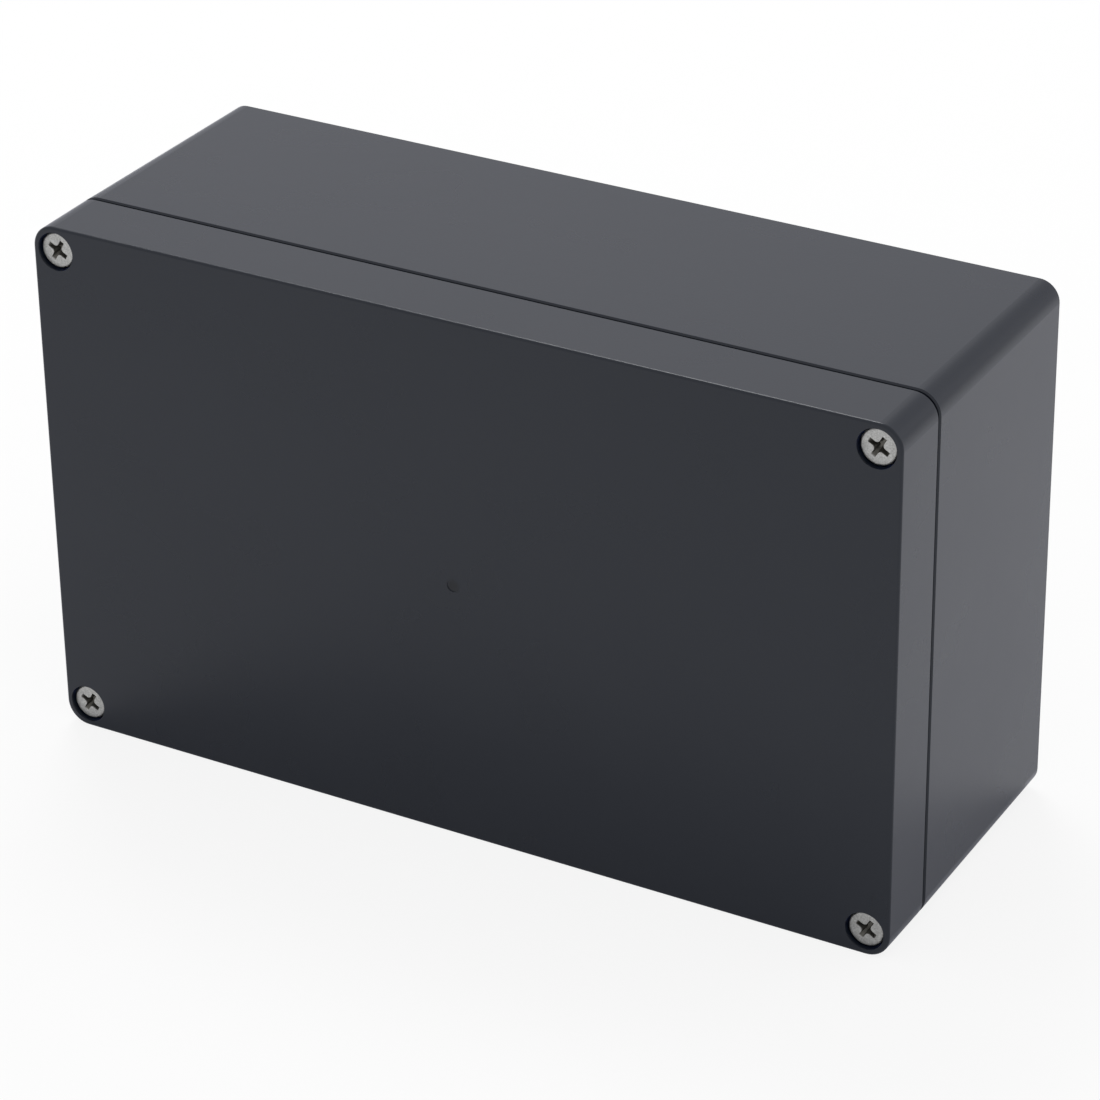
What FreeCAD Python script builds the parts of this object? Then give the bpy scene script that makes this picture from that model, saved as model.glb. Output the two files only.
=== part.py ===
import FreeCAD, Part
import math
import os

# A sealed plastic project box: a deep base and a shallower lid, closed by four screws sunk in
# the lid's corners, with a tongue on the base that presses a gasket in the lid's groove.
# Lengths are in millimetres. The mouldings are described lying on their back: x runs along
# the box, y across it and z from the back wall to the lid's face. At the end every piece is
# stood up on one long side, with the lid's face towards -Y.

# Outside
length = 200.0
width = 120.0
depth = 75.0
lid_depth = 16.0
seam_gap = 0.7
corner_r = 5.2
side_taper = 0.65
lid_edge_r = 0.6
back_edge_bevel = 0.6
seam_edge_bevel = 0.35
seam_step_width = 1.4

# Walls
wall = 3.0
back_wall = 3.0
lid_face_wall = 3.0

# Tongue, groove and gasket
tongue_width = 1.3
tongue_height = 3.0
groove_gap = 0.25
lip_width = 1.25
lip_drop = 1.5
gasket_height = 1.8
gasket_side_gap = 0.05

# Lid screws: cross-recessed pan heads in counterbores
screw_head_r = 4.0
screw_head_height = 2.6
screw_head_sink = 0.9
screw_r = 1.95
screw_engagement = 7.5
head_hole_gap = 0.3
corner_land = 1.2
shank_hole_gap = 0.3
recess_reach = 2.6
recess_foot_reach = 1.2
recess_arm_width = 1.15
recess_depth = 1.8
recess_turn = -30.0

# Threaded inserts in the base
insert_r = 2.8
insert_length = 8.0
insert_side_gap = 0.02
thread_gap = 0.05
tip_room = 1.5

# Corner blocks, with the wells of the wall screws
well_step = 11.5
well_r = 4.2
well_outer_wall = 2.3
well_floor = 4.0
wall_hole_r = 2.25
block_web = 1.5
block_corner_r = 5.0
block_root_r = 2.6

# Bosses for a circuit board
boss_r = 3.5
boss_height = 6.0
boss_pilot_r = 1.35
boss_pilot_floor = 1.5
boss_clearance = 3.0

# The dimple that the gate leaves in the middle of the lid's face
gate_r = 1.4
gate_dip = 0.12

# Levels, from the back wall's outer face
rim_z = depth - lid_depth
seam_z = rim_z - seam_gap
tongue_z = rim_z + tongue_height
groove_z = tongue_z + gasket_height
head_seat_z = depth - screw_head_sink - screw_head_height
screw_length = head_seat_z - rim_z + screw_engagement
insert_foot_z = rim_z - insert_length
lip_z = rim_z - lip_drop

# Radii and places that follow from the sizes above
counterbore_r = screw_head_r + head_hole_gap
screw_inset = counterbore_r + corner_land
shank_hole_r = screw_r + shank_hole_gap
insert_bore_r = screw_r + thread_gap
insert_hole_r = insert_r + insert_side_gap
well_inset_x = screw_inset + well_step
well_inset_y = well_outer_wall + well_r
block_length = well_inset_x + well_r + block_web + tongue_width
block_width = max(well_inset_y + well_r, screw_inset + insert_r) + block_web + tongue_width
screw_x = length / 2 - screw_inset
screw_y = width / 2 - screw_inset
well_x = length / 2 - well_inset_x
well_y = width / 2 - well_inset_y
boss_x = length / 2 - block_length
boss_y = width / 2 - block_width - boss_clearance - boss_r
corners = [(-1, -1), (1, -1), (-1, 1), (1, 1)]


def point(x, y, z):
    return FreeCAD.Vector(x, y, z)


def rod(radius, low_z, high_z, x=0.0, y=0.0):
    """An upright cylinder between two levels."""
    return Part.makeCylinder(radius, high_z - low_z, point(x, y, low_z))


def turned(profile):
    """The solid that a closed (radius, z) profile sweeps about the z axis."""
    edge_loop = Part.makePolygon([point(r, 0, z) for r, z in profile + profile[:1]])
    return Part.Face(edge_loop).revolve(point(0, 0, 0), point(0, 0, 1), 360)


def rounded_outline(corners_xy, radii, z):
    """A closed outline at level z, with every corner rounded by an arc of its own radius."""
    count = len(corners_xy)
    places = [point(x, y, z) for x, y in corners_xy]
    starts = []
    ends = []
    middles = []
    for i in range(count):
        here = places[i]
        back = (places[i - 1] - here).normalize()
        ahead = (places[(i + 1) % count] - here).normalize()
        starts.append(here + back * radii[i])
        ends.append(here + ahead * radii[i])
        middles.append(here + (back + ahead) * (radii[i] * (1 - math.sqrt(0.5))))
    edges = []
    for i in range(count):
        edges.append(Part.Arc(starts[i], middles[i], ends[i]).toShape())
        edges.append(Part.LineSegment(ends[i], starts[(i + 1) % count]).toShape())
    return Part.Wire(edges)


def outside_outline(inset, z):
    """The box's outer outline, moved inwards by inset."""
    x = length / 2 - inset
    y = width / 2 - inset
    return rounded_outline([(-x, -y), (x, -y), (x, y), (-x, y)], [corner_r - inset] * 4, z)


def inside_outline(inset, z):
    """The outline of the base's hollow at its rim, which jogs in round the four corner blocks.

    The tongue, groove, lip and gasket are all drawn with it, at insets of their own.
    """
    x = length / 2 - wall - inset
    y = width / 2 - wall - inset
    notch_x = length / 2 - block_length - inset
    notch_y = width / 2 - block_width - inset
    root_r = block_root_r - inset
    nose_r = block_corner_r + inset
    quarter = [(x, notch_y), (notch_x, notch_y), (notch_x, y)]
    outline = []
    outline += [(u, v) for u, v in quarter]
    outline += [(-u, v) for u, v in reversed(quarter)]
    outline += [(-u, -v) for u, v in quarter]
    outline += [(u, -v) for u, v in reversed(quarter)]
    return rounded_outline(outline, [root_r, nose_r, root_r] * 4, z)


def drawn_between(low_outline, high_outline):
    """The solid whose straight sides join two outlines."""
    return Part.makeLoft([low_outline, high_outline], True, True)


def upright(outline, height):
    return Part.Face(outline).extrude(point(0, 0, height))


def band(outer_inset, inner_inset, low_z, high_z):
    """A wall that follows the inside outline between two insets and two levels."""
    outer = upright(inside_outline(outer_inset, low_z), high_z - low_z)
    inner = upright(inside_outline(inner_inset, low_z), high_z - low_z)
    return outer.cut(inner)


def edges_at(shape, z):
    """The edges of a shape that lie wholly at level z."""
    found = []
    for edge in shape.Edges:
        if abs(edge.BoundBox.ZMin - z) < 1e-4 and abs(edge.BoundBox.ZMax - z) < 1e-4:
            found.append(edge)
    return found


def make_base():
    shell = drawn_between(outside_outline(side_taper, 0), outside_outline(0, seam_z))
    shell = shell.makeChamfer(back_edge_bevel, edges_at(shell, 0))
    shell = shell.makeChamfer(seam_edge_bevel, edges_at(shell, seam_z))
    rim = upright(outside_outline(seam_step_width, seam_z), rim_z - seam_z)
    tongue = upright(inside_outline(-tongue_width, rim_z), tongue_z - rim_z)
    hollow = upright(inside_outline(0, back_wall), tongue_z - back_wall)
    base = shell.fuse([rim, tongue]).cut(hollow)

    boss_top_z = back_wall + boss_height
    bosses = []
    pilots = []
    for side_x, side_y in corners:
        at_boss = (side_x * boss_x, side_y * boss_y)
        bosses.append(rod(boss_r, back_wall, boss_top_z, *at_boss))
        pilots.append(rod(boss_pilot_r, boss_pilot_floor, boss_top_z, *at_boss))
    base = base.fuse(bosses).cut(pilots)

    tip_z = head_seat_z - screw_length
    insert_hole_foot_z = min(insert_foot_z, tip_z) - tip_room
    holes = []
    for side_x, side_y in corners:
        at_screw = (side_x * screw_x, side_y * screw_y)
        at_well = (side_x * well_x, side_y * well_y)
        holes.append(rod(insert_hole_r, insert_hole_foot_z, rim_z, *at_screw))
        holes.append(rod(well_r, well_floor, rim_z, *at_well))
        holes.append(rod(wall_hole_r, 0, well_floor, *at_well))
    return base.cut(holes).removeSplitter()


def make_lid():
    lid = upright(outside_outline(0, rim_z), lid_depth)
    lid = lid.makeFillet(lid_edge_r, edges_at(lid, depth))
    lid = lid.makeChamfer(seam_edge_bevel, edges_at(lid, rim_z))
    lip_inset = groove_gap + lip_width
    ceiling_z = depth - lid_face_wall
    lid = lid.cut(upright(inside_outline(lip_inset, rim_z), ceiling_z - rim_z))
    lid = lid.cut(band(-tongue_width - groove_gap, groove_gap, rim_z, groove_z))
    lid = lid.fuse(band(groove_gap, lip_inset, lip_z, rim_z))

    holes = []
    for side_x, side_y in corners:
        at_screw = (side_x * screw_x, side_y * screw_y)
        holes.append(rod(shank_hole_r, rim_z, head_seat_z, *at_screw))
        holes.append(rod(counterbore_r, head_seat_z, depth, *at_screw))
    holes.append(rod(gate_r, depth - gate_dip, depth))
    return lid.cut(holes).removeSplitter()


def make_gasket():
    outer_inset = gasket_side_gap - tongue_width - groove_gap
    inner_inset = groove_gap - gasket_side_gap
    return band(outer_inset, inner_inset, tongue_z, groove_z)


def make_screw():
    """A screw on the z axis, with its head's seat at level 0 and its shank downwards."""
    tip_z = -screw_length
    blank = turned([
        (0, tip_z),
        (screw_r, tip_z),
        (screw_r, 0),
        (screw_head_r, 0),
        (screw_head_r, screw_head_height),
        (0, screw_head_height),
    ])
    recess_z = screw_head_height - recess_depth
    arms = []
    for turn in (recess_turn, recess_turn + 90):
        arm_outline = Part.makePolygon([
            point(-recess_reach, -recess_arm_width / 2, screw_head_height),
            point(recess_reach, -recess_arm_width / 2, screw_head_height),
            point(recess_foot_reach, -recess_arm_width / 2, recess_z),
            point(-recess_foot_reach, -recess_arm_width / 2, recess_z),
            point(-recess_reach, -recess_arm_width / 2, screw_head_height),
        ])
        arm = Part.Face(arm_outline).extrude(point(0, recess_arm_width, 0))
        arm.rotate(point(0, 0, 0), point(0, 0, 1), turn)
        arms.append(arm)
    return blank.cut(arms).removeSplitter()


def make_insert():
    """A turned insert on the z axis, from level 0 up to its mouth."""
    return turned([
        (insert_bore_r, 0),
        (insert_r, 0),
        (insert_r, insert_length),
        (insert_bore_r, insert_length),
    ])


def stood_up(shape):
    """Turns a piece from its back on to its long side, centred over the origin."""
    stood = shape.copy()
    stood.rotate(point(0, 0, 0), point(1, 0, 0), 90)
    stood.translate(point(0, depth / 2, width / 2))
    return stood


def moved(shape, x, y, z):
    copy = shape.copy()
    copy.translate(point(x, y, z))
    return copy


pieces = {
    "base": make_base(),
    "lid": make_lid(),
    "gasket": make_gasket(),
}
screw = make_screw()
insert = make_insert()
for number, (side_x, side_y) in enumerate(corners, start=1):
    x = side_x * screw_x
    y = side_y * screw_y
    pieces["screw_" + str(number)] = moved(screw, x, y, head_seat_z)
    pieces["insert_" + str(number)] = moved(insert, x, y, insert_foot_z)

os.makedirs("parts", exist_ok=True)
for name, piece in pieces.items():
    stood = stood_up(piece)
    stood.exportStep("parts/" + name + ".step")
    facets = len(stood.tessellate(0.1)[1])
    print(name, "solids", len(stood.Solids), "valid", stood.isValid(),
          "volume", round(stood.Volume, 1), "facets", facets)
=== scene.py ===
import math

import bpy
from mathutils import Euler, Matrix, Vector


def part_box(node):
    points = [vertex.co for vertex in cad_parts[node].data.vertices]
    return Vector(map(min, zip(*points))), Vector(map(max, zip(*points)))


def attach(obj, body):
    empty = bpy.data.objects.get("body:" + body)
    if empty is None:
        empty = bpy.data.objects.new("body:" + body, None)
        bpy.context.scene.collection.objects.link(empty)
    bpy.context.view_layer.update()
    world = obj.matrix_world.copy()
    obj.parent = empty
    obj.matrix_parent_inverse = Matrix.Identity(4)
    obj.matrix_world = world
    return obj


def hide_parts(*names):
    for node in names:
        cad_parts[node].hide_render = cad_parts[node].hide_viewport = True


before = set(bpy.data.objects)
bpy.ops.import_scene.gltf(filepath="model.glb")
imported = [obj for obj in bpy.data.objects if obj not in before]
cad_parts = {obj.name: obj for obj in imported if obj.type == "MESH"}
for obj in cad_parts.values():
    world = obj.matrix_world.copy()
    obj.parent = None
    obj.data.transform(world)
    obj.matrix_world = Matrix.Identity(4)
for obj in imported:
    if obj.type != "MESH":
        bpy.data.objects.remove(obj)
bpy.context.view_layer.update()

# Lengths are metres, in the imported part's own frame: the lid's face looks towards -Y.
MM = 0.001
TOUCH = 0.001 * MM

# The photograph's camera: where it stands, how it is turned, how long its lens and how wide
# its film are in millimetres, and how far it sees
camera_place = Vector((0.41005, -0.71113, 0.49862))
camera_turn = Euler((math.radians(61.356), math.radians(0.707), math.radians(29.495)))
camera_lens = 144.55
camera_sensor = 36.0
camera_reach = 20.0

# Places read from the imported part
base_low, base_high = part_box("base")
face_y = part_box("lid")[0].y
middle_z = (base_low.z + base_high.z) / 2
screw_names = ["screw_1", "screw_2", "screw_3", "screw_4"]
insert_names = ["insert_1", "insert_2", "insert_3", "insert_4"]

# The M4 thread. The ridge is wound a little into the core and past the crest, so that the
# core joins it and the envelope trims it without faces that only just touch.
thread_pitch = 0.7 * MM
thread_height = 0.32 * MM
thread_flank_share = 0.45
thread_steps = 28
thread_overlap = 0.05 * MM

# The lid screws: pan heads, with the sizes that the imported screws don't tell
shank_r = 1.95 * MM
shank_tip_taper = 0.6 * MM
shank_segments = 64
head_height = 2.6 * MM
head_edge_r = 0.5 * MM
head_edge_steps = 5
head_segments = 72
core_in_head = head_height / 4
recess_depth = 1.8 * MM
recess_reach = 2.6 * MM
recess_arm_width = 1.15 * MM
recess_corner_r = 0.8 * MM
recess_corner_steps = 6
recess_foot_share = 0.42
recess_turn = math.radians(-30)
recess_cutter_rise = 0.2 * MM

# The threaded inserts: knurled outside, with a plain groove half way up and plain ends
insert_bore_r = 2.0 * MM
insert_knurls = 24
insert_knurl_depth = 0.14 * MM
insert_rings = 5
insert_groove_share = 0.1

# Edges between faces that meet at less than this are shaded smooth
smooth_below = math.radians(30)

# How fine the patterns of the finishes are, in cells per metre, and the part of the steel's
# pattern that is stretched to its full contrast
plastic_patches = 45.0
plastic_waves = 160.0
plastic_grain = 2600.0
steel_mottle = 2600.0
steel_mottle_low = 0.3
steel_mottle_high = 0.7
steel_tone = 600.0
brass_tone = 900.0
rubber_pores = 3000.0
paper_tone = 60.0

# The gate mark in the middle of the lid's face: its solid spot, its faded rim, how far the
# grain frays it, the depths behind the face between which it fades out, and its darkness
gate_spot_r = 1.2 * MM
gate_rim_r = 2.2 * MM
gate_fray = 0.8 * MM
gate_depth = 0.3 * MM
gate_depth_end = 0.5 * MM
gate_darkness = 0.7

# Where the painted shade in a screw's recess begins and ends
recess_painted_shade_top = 0.02 * MM
recess_painted_shade_full = 0.3 * MM
recess_painted_shade_margin = 0.1 * MM

# The floor, and how white it and the room are where they are looked at or mirrored
floor_size = 6.0
floor_white_seen = 0.85
white_mirrored = 0.1

# The soft light: the room's level, and each lamp's place, the side of its square and its watts
room_light = 0.73
lamp_target = Vector((0, 0, 0.06))
lamps = {
    "back softbox": (Vector((-0.9, 1.5, 1.3)), 1.6, 1.2),
    "side softbox": (Vector((1.4, 0.9, 1.1)), 1.2, 2.5),
    "key softbox": (Vector((-0.6, 0.7, 1.6)), 0.6, 10.0),
}


class Shade:
    """A socket of a finish's nodes that takes part in sums as a number would."""

    def __init__(self, finish, socket):
        self.finish = finish
        self.socket = socket

    def __add__(self, other):
        return self.finish.sum("ADD", self, other)

    __radd__ = __add__

    def __sub__(self, other):
        return self.finish.sum("SUBTRACT", self, other)

    def __rsub__(self, other):
        return self.finish.sum("SUBTRACT", other, self)

    def __mul__(self, other):
        return self.finish.sum("MULTIPLY", self, other)

    __rmul__ = __mul__

    def __pow__(self, other):
        return self.finish.sum("POWER", self, other)

    def __abs__(self):
        return self.finish.sum("ABSOLUTE", self)


class Finish:
    """The nodes of one material or world, and the few ways of adding to them."""

    def __init__(self, owner):
        self.owner = owner
        self.owner.use_nodes = True
        self.tree = self.owner.node_tree
        self.tree.nodes.clear()

    def node(self, kind, settings=None, out=0, **sockets):
        """Adds a node, sets its settings, fills its sockets and gives one of its outputs.

        A socket goes by its name, as in Base_Color, or by its number, as in _0.
        """
        node = self.tree.nodes.new(kind)
        for name, value in (settings or {}).items():
            setattr(node, name, value)
        for name, value in sockets.items():
            numbered = name[0] == "_" and name[1:].isdigit()
            socket = node.inputs[int(name[1:]) if numbered else name.replace("_", " ")]
            if isinstance(value, Shade):
                self.tree.links.new(value.socket, socket)
            else:
                socket.default_value = value
        return Shade(self, node.outputs[out]) if node.outputs else None

    def sum(self, operation, *values):
        inputs = {"_" + str(i): value for i, value in enumerate(values)}
        return self.node("ShaderNodeMath", {"operation": operation}, **inputs)

    def mix(self, share, one, other):
        """A colour between two colours."""
        return self.node("ShaderNodeMix", {"data_type": "RGBA"}, out=2,
                         _0=share, _6=one, _7=other)

    def place(self):
        """The point's place on the piece, in the part's frame."""
        return self.node("ShaderNodeTexCoord", out="Object")

    def along(self, place, axis):
        """One coordinate of a place: X, Y or Z."""
        return self.node("ShaderNodeSeparateXYZ", out=axis, Vector=place)

    def rise(self, value, low, high):
        """0 below the low value, 1 above the high one, and a straight line between."""
        return self.node("ShaderNodeMapRange", Value=value, From_Min=low, From_Max=high)

    def noise(self, place, scale, detail=2.0, roughness=0.5):
        return self.node("ShaderNodeTexNoise", Vector=place, Scale=scale, Detail=detail,
                         Roughness=roughness)

    def bump(self, height, distance, strength, under=None):
        """A normal with a relief of this height in it, over another normal if one is given."""
        inputs = {"Height": height, "Distance": distance, "Strength": strength}
        if under:
            inputs["Normal"] = under
        return self.node("ShaderNodeBump", **inputs)

    def surface(self, **sockets):
        """Ends the material in one Principled surface."""
        surface = self.node("ShaderNodeBsdfPrincipled", **sockets)
        self.node("ShaderNodeOutputMaterial", Surface=surface)
        return self.owner

    def white_share(self, seen, mirrored):
        """How much of a backdrop is plain white to the camera, and in and through the pieces."""
        to_camera = self.node("ShaderNodeLightPath", out="Is Camera Ray")
        in_mirror = self.node("ShaderNodeLightPath", out="Is Glossy Ray")
        through = self.node("ShaderNodeLightPath", out="Is Transmission Ray")
        return to_camera * seen + (in_mirror + through) * mirrored


def grey(level):
    return (level, level, level, 1)


def moulded_plastic():
    """Anthracite moulded plastic: spark-eroded grain, faint flow patches and a gate mark."""
    finish = Finish(bpy.data.materials.new("moulded plastic"))
    place = finish.place()
    patches = finish.noise(place, plastic_patches, detail=3.0)
    grain = finish.noise(place, plastic_grain, detail=2.0, roughness=0.6)
    soft_waves = finish.noise(place, plastic_waves, detail=1.0)
    dark_tone = (0.0058, 0.0084, 0.0152, 1)
    light_tone = (0.0081, 0.0111, 0.0179, 1)
    colour = finish.mix(patches, dark_tone, light_tone)

    from_middle_z = finish.along(place, "Z") - middle_z
    from_gate = (finish.along(place, "X") ** 2 + from_middle_z ** 2) ** 0.5
    behind_face = finish.rise(finish.along(place, "Y"),
                              face_y + gate_depth, face_y + gate_depth_end)
    outside_mark = finish.rise(from_gate + grain * gate_fray, gate_spot_r, gate_rim_r)
    gate_mark = (1 - outside_mark) * (1 - behind_face)
    colour = finish.mix(gate_mark * gate_darkness, colour, grey(0.002))

    normal = finish.bump(soft_waves, 0.02 * MM, 0.5)
    normal = finish.bump(grain, 0.02 * MM, 0.6, normal)
    return finish.surface(Base_Color=colour, Normal=normal,
                          Roughness=0.25 + patches * 0.06 + gate_mark * 0.12,
                          IOR=1.45, Specular_Tint=(0.95, 0.965, 1.0, 1),
                          Sheen_Weight=0.075, Sheen_Roughness=0.4,
                          Sheen_Tint=(0.15, 0.25, 1.0, 1))


def screw_steel(screw_x, screw_z, head_top_y):
    """Satin plated steel with a fine tumbled mottle, and painted shade that darkens the recess.
    """
    finish = Finish(bpy.data.materials.new("plated steel"))
    place = finish.place()
    mottle = finish.noise(place, steel_mottle, detail=2.0, roughness=0.6)
    mottle = finish.rise(mottle, steel_mottle_low, steel_mottle_high)
    tone = finish.noise(place, steel_tone, detail=2.0)
    dull_tone = (0.28, 0.28, 0.275, 1)
    bright_tone = (0.68, 0.68, 0.67, 1)
    outer = finish.mix(mottle * 0.6 + tone * 0.4, dull_tone, bright_tone)

    from_x = abs(finish.along(place, "X")) - screw_x
    from_z = abs(finish.along(place, "Z") - middle_z) - screw_z
    from_axis = (from_x ** 2 + from_z ** 2) ** 0.5
    depth = finish.along(place, "Y")
    # The mask of the painted shade in the recess: below the head's top, inside the arms and
    # above the foot
    below_top = finish.rise(depth, head_top_y + recess_painted_shade_top, head_top_y + recess_painted_shade_full)
    past_arms = finish.rise(from_axis, recess_reach, recess_reach + recess_painted_shade_margin)
    foot_y = head_top_y + recess_depth + recess_painted_shade_margin
    past_foot = finish.rise(depth, foot_y, foot_y + recess_painted_shade_margin)
    painted_recess_shade = below_top * (1 - past_arms) * (1 - past_foot)
    # Painted shade: the recess gets a darker colour where shade falls in it
    colour = finish.mix(painted_recess_shade, outer, (0.17, 0.165, 0.15, 1))
    return finish.surface(Base_Color=colour, Metallic=1.0, Roughness=0.44 + mottle * 0.14,
                          Normal=finish.bump(mottle, 0.02 * MM, 0.5))


def turned_brass():
    """Turned brass, a little dulled."""
    finish = Finish(bpy.data.materials.new("turned brass"))
    tone = finish.noise(finish.place(), brass_tone, detail=3.0)
    colour = finish.mix(tone, (0.56, 0.38, 0.14, 1), (0.72, 0.52, 0.22, 1))
    return finish.surface(Base_Color=colour, Metallic=1.0, Roughness=0.25 + tone * 0.2,
                          Normal=finish.bump(tone, 0.01 * MM, 0.4))


def foam_rubber():
    """Black foam rubber with an open, dull skin."""
    finish = Finish(bpy.data.materials.new("foam rubber"))
    pores = finish.noise(finish.place(), rubber_pores, detail=3.0, roughness=0.7)
    colour = finish.mix(pores, grey(0.009), grey(0.02))
    return finish.surface(Base_Color=colour, Roughness=0.85,
                          Normal=finish.bump(pores, 0.05 * MM, 0.7))


def pale_floor():
    """Pale paper that takes the shadow, with some plain white where it is looked at."""
    finish = Finish(bpy.data.materials.new("pale floor"))
    tone = finish.noise(finish.place(), paper_tone)
    colour = finish.mix(tone, grey(0.9), grey(0.93))
    paper = finish.node("ShaderNodeBsdfPrincipled", Base_Color=colour, Roughness=0.9)
    white = finish.node("ShaderNodeEmission", Color=grey(1.0), Strength=1.0)
    share = finish.white_share(floor_white_seen, white_mirrored)
    surface = finish.node("ShaderNodeMixShader", _0=share, _1=paper, _2=white)
    finish.node("ShaderNodeOutputMaterial", Surface=surface)
    return finish.owner


def pale_room():
    """The room's soft light from all round, with plain white where it is looked at."""
    finish = Finish(bpy.data.worlds.new("pale room"))
    light = finish.node("ShaderNodeBackground", Color=grey(1.0), Strength=room_light)
    white = finish.node("ShaderNodeBackground", Color=grey(1.0), Strength=1.0)
    share = finish.white_share(1.0, white_mirrored)
    surface = finish.node("ShaderNodeMixShader", _0=share, _1=light, _2=white)
    finish.node("ShaderNodeOutputWorld", Surface=surface)
    return finish.owner


def hold(piece):
    """Makes a piece the only selected one, for the operators that follow."""
    bpy.ops.object.select_all(action="DESELECT")
    bpy.context.view_layer.objects.active = piece
    piece.select_set(True)


def open_edit(piece, kind, select="DESELECT"):
    """Opens a piece for editing by VERT, EDGE or FACE, with nothing or all of it selected."""
    hold(piece)
    bpy.ops.object.mode_set(mode="EDIT")
    bpy.ops.mesh.select_mode(type=kind)
    bpy.ops.mesh.select_all(action=select)


def close_edit():
    bpy.ops.object.mode_set(mode="OBJECT")


def pick_vertices(piece, wanted):
    """Opens a piece for editing, with the vertices selected whose place fits a test."""
    open_edit(piece, "VERT")
    close_edit()
    for vertex in piece.data.vertices:
        vertex.select = wanted(vertex.co)
    bpy.ops.object.mode_set(mode="EDIT")


def pick_edges(piece, wanted):
    """Opens a piece for editing, with the edges selected whose two ends fit a test."""
    open_edit(piece, "EDGE")
    close_edit()
    mesh = piece.data
    for edge in mesh.edges:
        edge.select = wanted(*[mesh.vertices[i].co for i in edge.vertices])
    bpy.ops.object.mode_set(mode="EDIT")


def apply_modifier(piece, kind, **settings):
    hold(piece)
    modifier = piece.modifiers.new(kind.lower(), kind)
    for name, value in settings.items():
        setattr(modifier, name, value)
    bpy.ops.object.modifier_apply(modifier=modifier.name)


def settle(piece, matrix=None):
    """Bakes a piece's place into its mesh, so that its object sits at the origin."""
    if matrix:
        piece.matrix_world = matrix
    hold(piece)
    bpy.ops.object.transform_apply(location=True, rotation=True, scale=True)


def boolean(piece, operation, tool):
    """Joins, cuts or trims a piece with a tool, and throws the tool away."""
    apply_modifier(piece, "BOOLEAN", operation=operation, object=tool, solver="EXACT")
    bpy.data.objects.remove(tool)


def add_cylinder(radius, low_z, high_z, segments):
    bpy.ops.mesh.primitive_cylinder_add(vertices=segments, radius=radius, depth=high_z - low_z,
                                        location=(0, 0, (low_z + high_z) / 2))
    cylinder = bpy.context.object
    settle(cylinder)
    return cylinder


def wind_ridge(radius, height, low_z, high_z):
    """A thread's ridge as a solid: a diamond section wound up the z axis, a pitch to a turn."""
    bpy.ops.mesh.primitive_circle_add(vertices=4, radius=height, location=(radius, 0, low_z),
                                      rotation=(math.radians(90), 0, 0))
    ridge = bpy.context.object
    settle(ridge)
    open_edit(ridge, "VERT", "SELECT")
    slimness = thread_flank_share * thread_pitch / height
    bpy.ops.transform.resize(value=(1, 1, slimness), center_override=(radius, 0, low_z))
    close_edit()
    apply_modifier(ridge, "SCREW", screw_offset=thread_pitch, steps=thread_steps,
                   render_steps=thread_steps, iterations=round((high_z - low_z) / thread_pitch))
    open_edit(ridge, "VERT", "SELECT")
    bpy.ops.mesh.fill_holes(sides=4)
    bpy.ops.mesh.normals_make_consistent(inside=False)
    close_edit()
    return ridge


def model_recess_cutter():
    """The cross recess as a solid: four arms with rounded corners between them."""
    bpy.ops.mesh.primitive_plane_add(size=recess_arm_width,
                                     location=(0, 0, head_height + recess_cutter_rise))
    cutter = bpy.context.object
    settle(cutter)
    half = recess_arm_width / 2
    reach = recess_reach - half
    for x, y in ((1, 0), (-1, 0), (0, 1), (0, -1)):

        def on_middle_square(place, x=x, y=y):
            return (abs(place.x * x + place.y * y - half) < TOUCH
                    and abs(place.x * y + place.y * x) < half + TOUCH)

        pick_edges(cutter, lambda a, b: on_middle_square(a) and on_middle_square(b))
        bpy.ops.mesh.extrude_region_move(
            TRANSFORM_OT_translate={"value": (x * reach, y * reach, 0)})
        close_edit()
    open_edit(cutter, "FACE", "SELECT")
    bpy.ops.mesh.dissolve_faces()
    close_edit()
    pick_vertices(cutter, lambda place: abs(abs(place.x) - half) < TOUCH
                  and abs(abs(place.y) - half) < TOUCH)
    bpy.ops.mesh.bevel(offset=recess_corner_r, segments=recess_corner_steps, affect="VERTICES")
    bpy.ops.mesh.select_all(action="SELECT")
    bpy.ops.mesh.extrude_region_move(
        TRANSFORM_OT_translate={"value": (0, 0, -recess_depth - recess_cutter_rise)})
    bpy.ops.transform.resize(value=(recess_foot_share, recess_foot_share, 1),
                             center_override=(0, 0, head_height))
    bpy.ops.mesh.select_all(action="SELECT")
    bpy.ops.mesh.normals_make_consistent(inside=False)
    close_edit()
    settle(cutter, Matrix.Rotation(recess_turn, 4, "Z"))
    return cutter


def model_screw(length):
    """A pan-head screw on the z axis, with its head's seat at level 0."""
    low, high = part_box("screw_1")
    head_r = (high.x - low.x) / 2
    head = add_cylinder(head_r, 0, head_height, head_segments)
    pick_edges(head, lambda a, b: min(a.z, b.z) > head_height - TOUCH)
    bpy.ops.mesh.bevel(offset=head_edge_r, segments=head_edge_steps, affect="EDGES")
    close_edit()
    boolean(head, "DIFFERENCE", model_recess_cutter())

    core_r = shank_r - thread_height
    ridge = wind_ridge(core_r - thread_overlap / 2, thread_height + thread_overlap,
                       -length - thread_pitch, -thread_pitch)
    envelope = add_cylinder(shank_r, -length, 0, shank_segments)
    pick_edges(envelope, lambda a, b: max(a.z, b.z) < TOUCH - length)
    bpy.ops.mesh.bevel(offset=shank_tip_taper, segments=1, affect="EDGES")
    close_edit()
    boolean(ridge, "INTERSECT", envelope)
    core = add_cylinder(core_r, -length, core_in_head, shank_segments)
    boolean(core, "UNION", ridge)
    boolean(head, "UNION", core)
    return head


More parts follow.
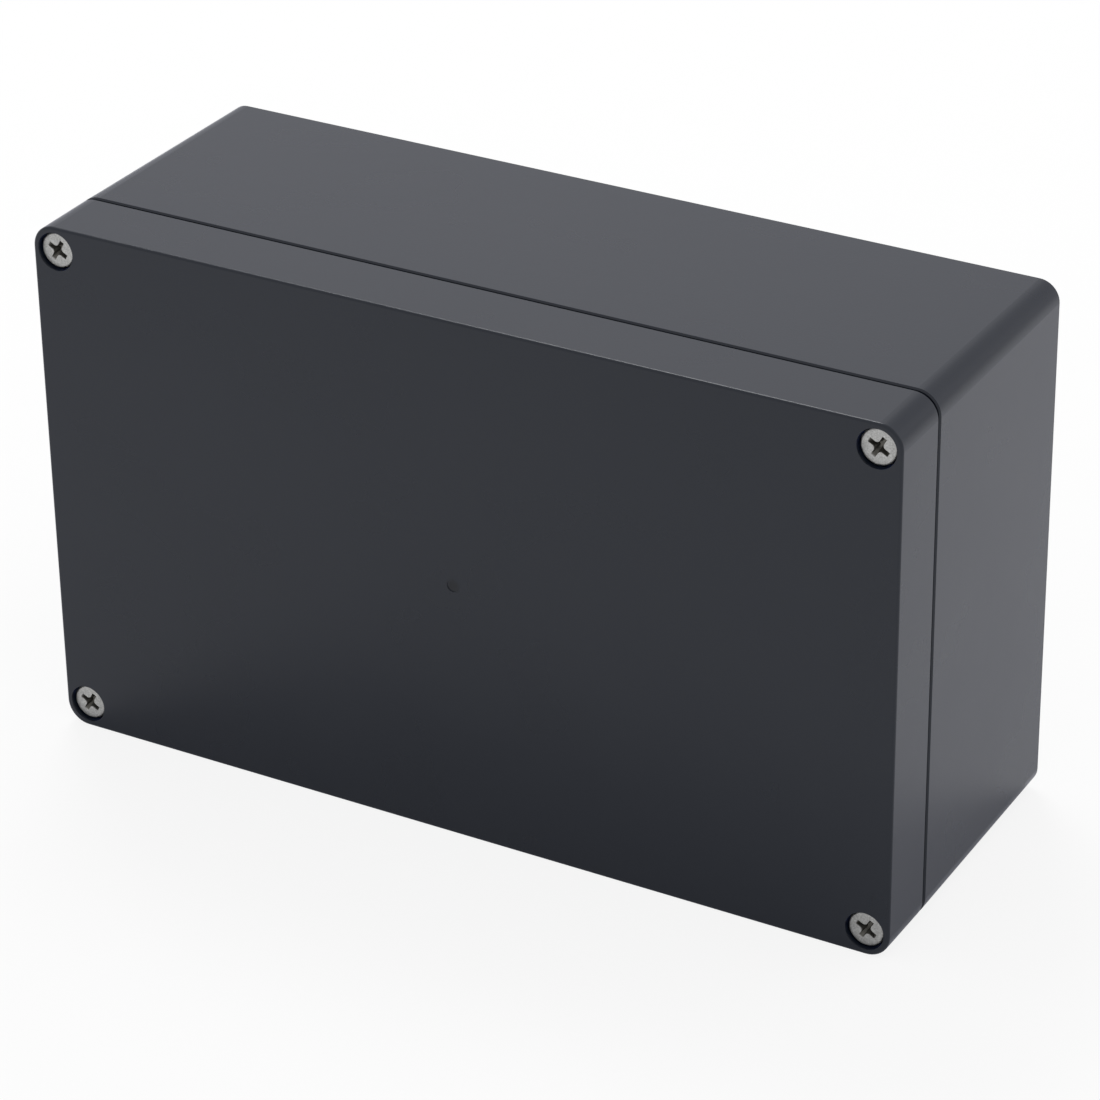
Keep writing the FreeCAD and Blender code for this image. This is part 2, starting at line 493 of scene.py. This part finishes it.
def model_insert():
    """A knurled brass insert on the z axis, from level 0 up to its mouth."""
    low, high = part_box("insert_1")
    outer_r = (high.x - low.x) / 2
    length = high.y - low.y
    insert = add_cylinder(outer_r, 0, length, 2 * insert_knurls)
    pick_edges(insert, lambda a, b: abs(a.z - b.z) > TOUCH)
    bpy.ops.mesh.subdivide(number_cuts=insert_rings)
    close_edit()

    def between_knurls(place):
        side = math.atan2(place.y, place.x) / (2 * math.pi) * 2 * insert_knurls
        in_groove = abs(place.z / length - 0.5) < insert_groove_share
        at_end = min(place.z, length - place.z) < TOUCH
        return (round(side) % 2 == 0 or in_groove or at_end) and place.xy.length > outer_r / 2

    pick_vertices(insert, between_knurls)
    inner_share = 1 - insert_knurl_depth / outer_r
    bpy.ops.transform.resize(value=(inner_share, inner_share, 1), center_override=(0, 0, 0))
    close_edit()
    boolean(insert, "DIFFERENCE", add_cylinder(insert_bore_r, -MM, length + MM, thread_steps))
    boolean(insert, "DIFFERENCE", wind_ridge(insert_bore_r, thread_height,
                                             -2 * thread_pitch, length + 2 * thread_pitch))
    return insert


def fit_copies(pattern, names, bodies, seat_y, material):
    """Puts a copy of a piece in the place of each packed one, with its z axis out of the lid."""
    stand = Matrix.Rotation(math.radians(90), 4, "X")
    for name, body in zip(names, bodies):
        low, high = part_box(name)
        seat = Vector(((low.x + high.x) / 2, seat_y(low, high), (low.z + high.z) / 2))
        piece = pattern.copy()
        piece.data = pattern.data.copy()
        piece.name = name + "_threaded"
        bpy.context.scene.collection.objects.link(piece)
        settle(piece, Matrix.Translation(seat) @ stand)
        piece.data.materials.clear()
        piece.data.materials.append(material)
        bpy.ops.object.shade_smooth_by_angle(angle=smooth_below)
        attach(piece, body)
        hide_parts(name)
    bpy.data.objects.remove(pattern)


def set_camera():
    camera = bpy.data.objects.new("camera", bpy.data.cameras.new("camera"))
    camera.data.lens = camera_lens
    camera.data.sensor_width = camera_sensor
    camera.data.clip_end = camera_reach
    camera.location = camera_place
    camera.rotation_euler = camera_turn
    bpy.context.scene.collection.objects.link(camera)
    bpy.context.scene.camera = camera


def hang_lamp(name, place, size, power):
    """A square soft lamp that looks at the box."""
    lamp = bpy.data.objects.new(name, bpy.data.lights.new(name, "AREA"))
    lamp.data.shape = "SQUARE"
    lamp.data.size = size
    lamp.data.energy = power
    lamp.location = place
    lamp.rotation_euler = (lamp_target - place).to_track_quat("-Z", "Y").to_euler()
    bpy.context.scene.collection.objects.link(lamp)


def lay_floor():
    bpy.ops.mesh.primitive_plane_add(size=floor_size, location=(0, 0, 0))
    floor = bpy.context.object
    floor.name = "floor"
    floor.data.materials.append(pale_floor())


def dress_node(name, material):
    """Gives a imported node's own mesh a material."""
    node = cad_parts[name]
    node.data.materials.clear()
    node.data.materials.append(material)


bpy.context.scene.view_settings.view_transform = "Standard"
set_camera()
bpy.context.scene.world = pale_room()
for name, (place, size, power) in lamps.items():
    hang_lamp(name, place, size, power)
lay_floor()

plastic = moulded_plastic()
dress_node("base", plastic)
dress_node("lid", plastic)
dress_node("gasket", foam_rubber())
low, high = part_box("screw_4")
steel = screw_steel((low.x + high.x) / 2, (low.z + high.z) / 2 - middle_z, low.y)
fit_copies(model_screw(high.y - low.y - head_height), screw_names, screw_names,
           lambda low, high: low.y + head_height, steel)
fit_copies(model_insert(), insert_names, ["base"] * 4,
           lambda low, high: high.y, turned_brass())
